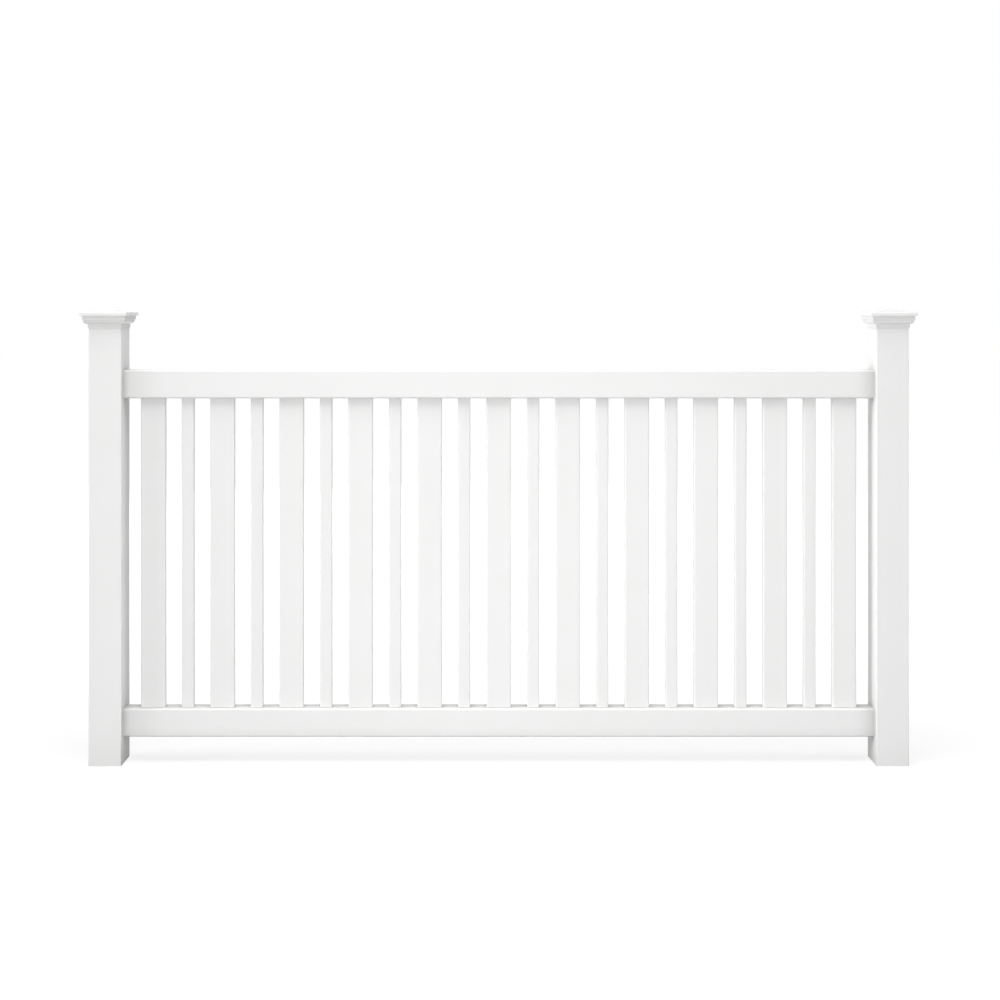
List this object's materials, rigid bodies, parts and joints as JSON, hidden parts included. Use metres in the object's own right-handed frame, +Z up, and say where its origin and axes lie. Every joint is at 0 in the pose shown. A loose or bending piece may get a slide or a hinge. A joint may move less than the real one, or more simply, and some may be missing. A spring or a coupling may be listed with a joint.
{
  "type": "picket fence panel",
  "caption": "White hollow vinyl picket fence panel: wide and narrow pickets by turns between two rails, which push into mortised square posts with moulded caps.",
  "frame": {"origin": "centre of the left post's foot, on the plane of its open lower end", "axes": "+X along the fence to the right post, +Z up, the front faces -Y"},
  "size_m": [2.583, 0.1446, 1.4153],
  "materials": {
    "post_vinyl": "extruded white vinyl, soft sheen",
    "rail_vinyl": "extruded white vinyl, soft sheen",
    "picket_vinyl": "extruded white vinyl, soft sheen",
    "moulded_vinyl": "injection moulded white vinyl, satin"
  },
  "bodies": {
    "root": {"left_post": "post_vinyl", "right_post": "post_vinyl", "left_post_cap": "moulded_vinyl", "right_post_cap": "moulded_vinyl", "top_rail": "rail_vinyl", "bottom_rail": "rail_vinyl", "wide_picket_01": "picket_vinyl", "narrow_picket_01": "picket_vinyl", "wide_picket_02": "picket_vinyl", "narrow_picket_02": "picket_vinyl", "wide_picket_03": "picket_vinyl", "narrow_picket_03": "picket_vinyl", "wide_picket_04": "picket_vinyl", "narrow_picket_04": "picket_vinyl", "wide_picket_05": "picket_vinyl", "narrow_picket_05": "picket_vinyl", "wide_picket_06": "picket_vinyl", "narrow_picket_06": "picket_vinyl", "wide_picket_07": "picket_vinyl", "narrow_picket_07": "picket_vinyl", "wide_picket_08": "picket_vinyl", "narrow_picket_08": "picket_vinyl", "wide_picket_09": "picket_vinyl", "narrow_picket_09": "picket_vinyl", "wide_picket_10": "picket_vinyl", "narrow_picket_10": "picket_vinyl", "wide_picket_11": "picket_vinyl"}
  },
  "joints": []
}
